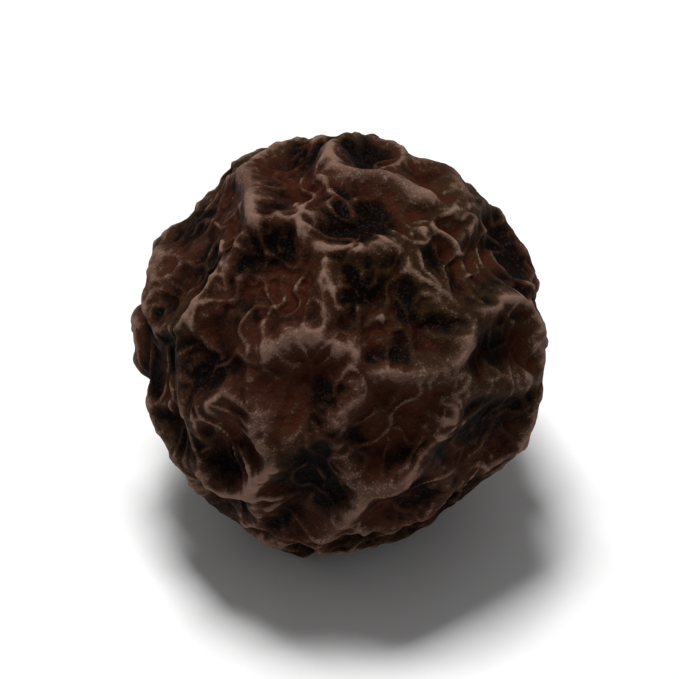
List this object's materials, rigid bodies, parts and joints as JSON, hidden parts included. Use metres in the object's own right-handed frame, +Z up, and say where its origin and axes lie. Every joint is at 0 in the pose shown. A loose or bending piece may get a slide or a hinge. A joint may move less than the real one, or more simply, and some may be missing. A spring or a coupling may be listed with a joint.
{
  "type": "black peppercorn",
  "caption": "One dried black peppercorn: a small round fruit with a raised net of wrinkles, standing on three low crests round a small flat spot.",
  "frame": {"origin": "middle of the fruit's outline, on the level that its three lowest crests stand on, 0.05 mm below the flat spot in their middle", "axes": "+Z up from the resting spot, +Y towards the side away from the picture's camera, -X towards the scar where the fruit sat on its spike"},
  "size_m": [0.0052, 0.0054, 0.0051],
  "materials": {
    "dried_skin": "matte, dark brown to near black, with dusty grey-brown ridge crests"
  },
  "bodies": {
    "root": {"peppercorn": "dried_skin"}
  },
  "joints": []
}
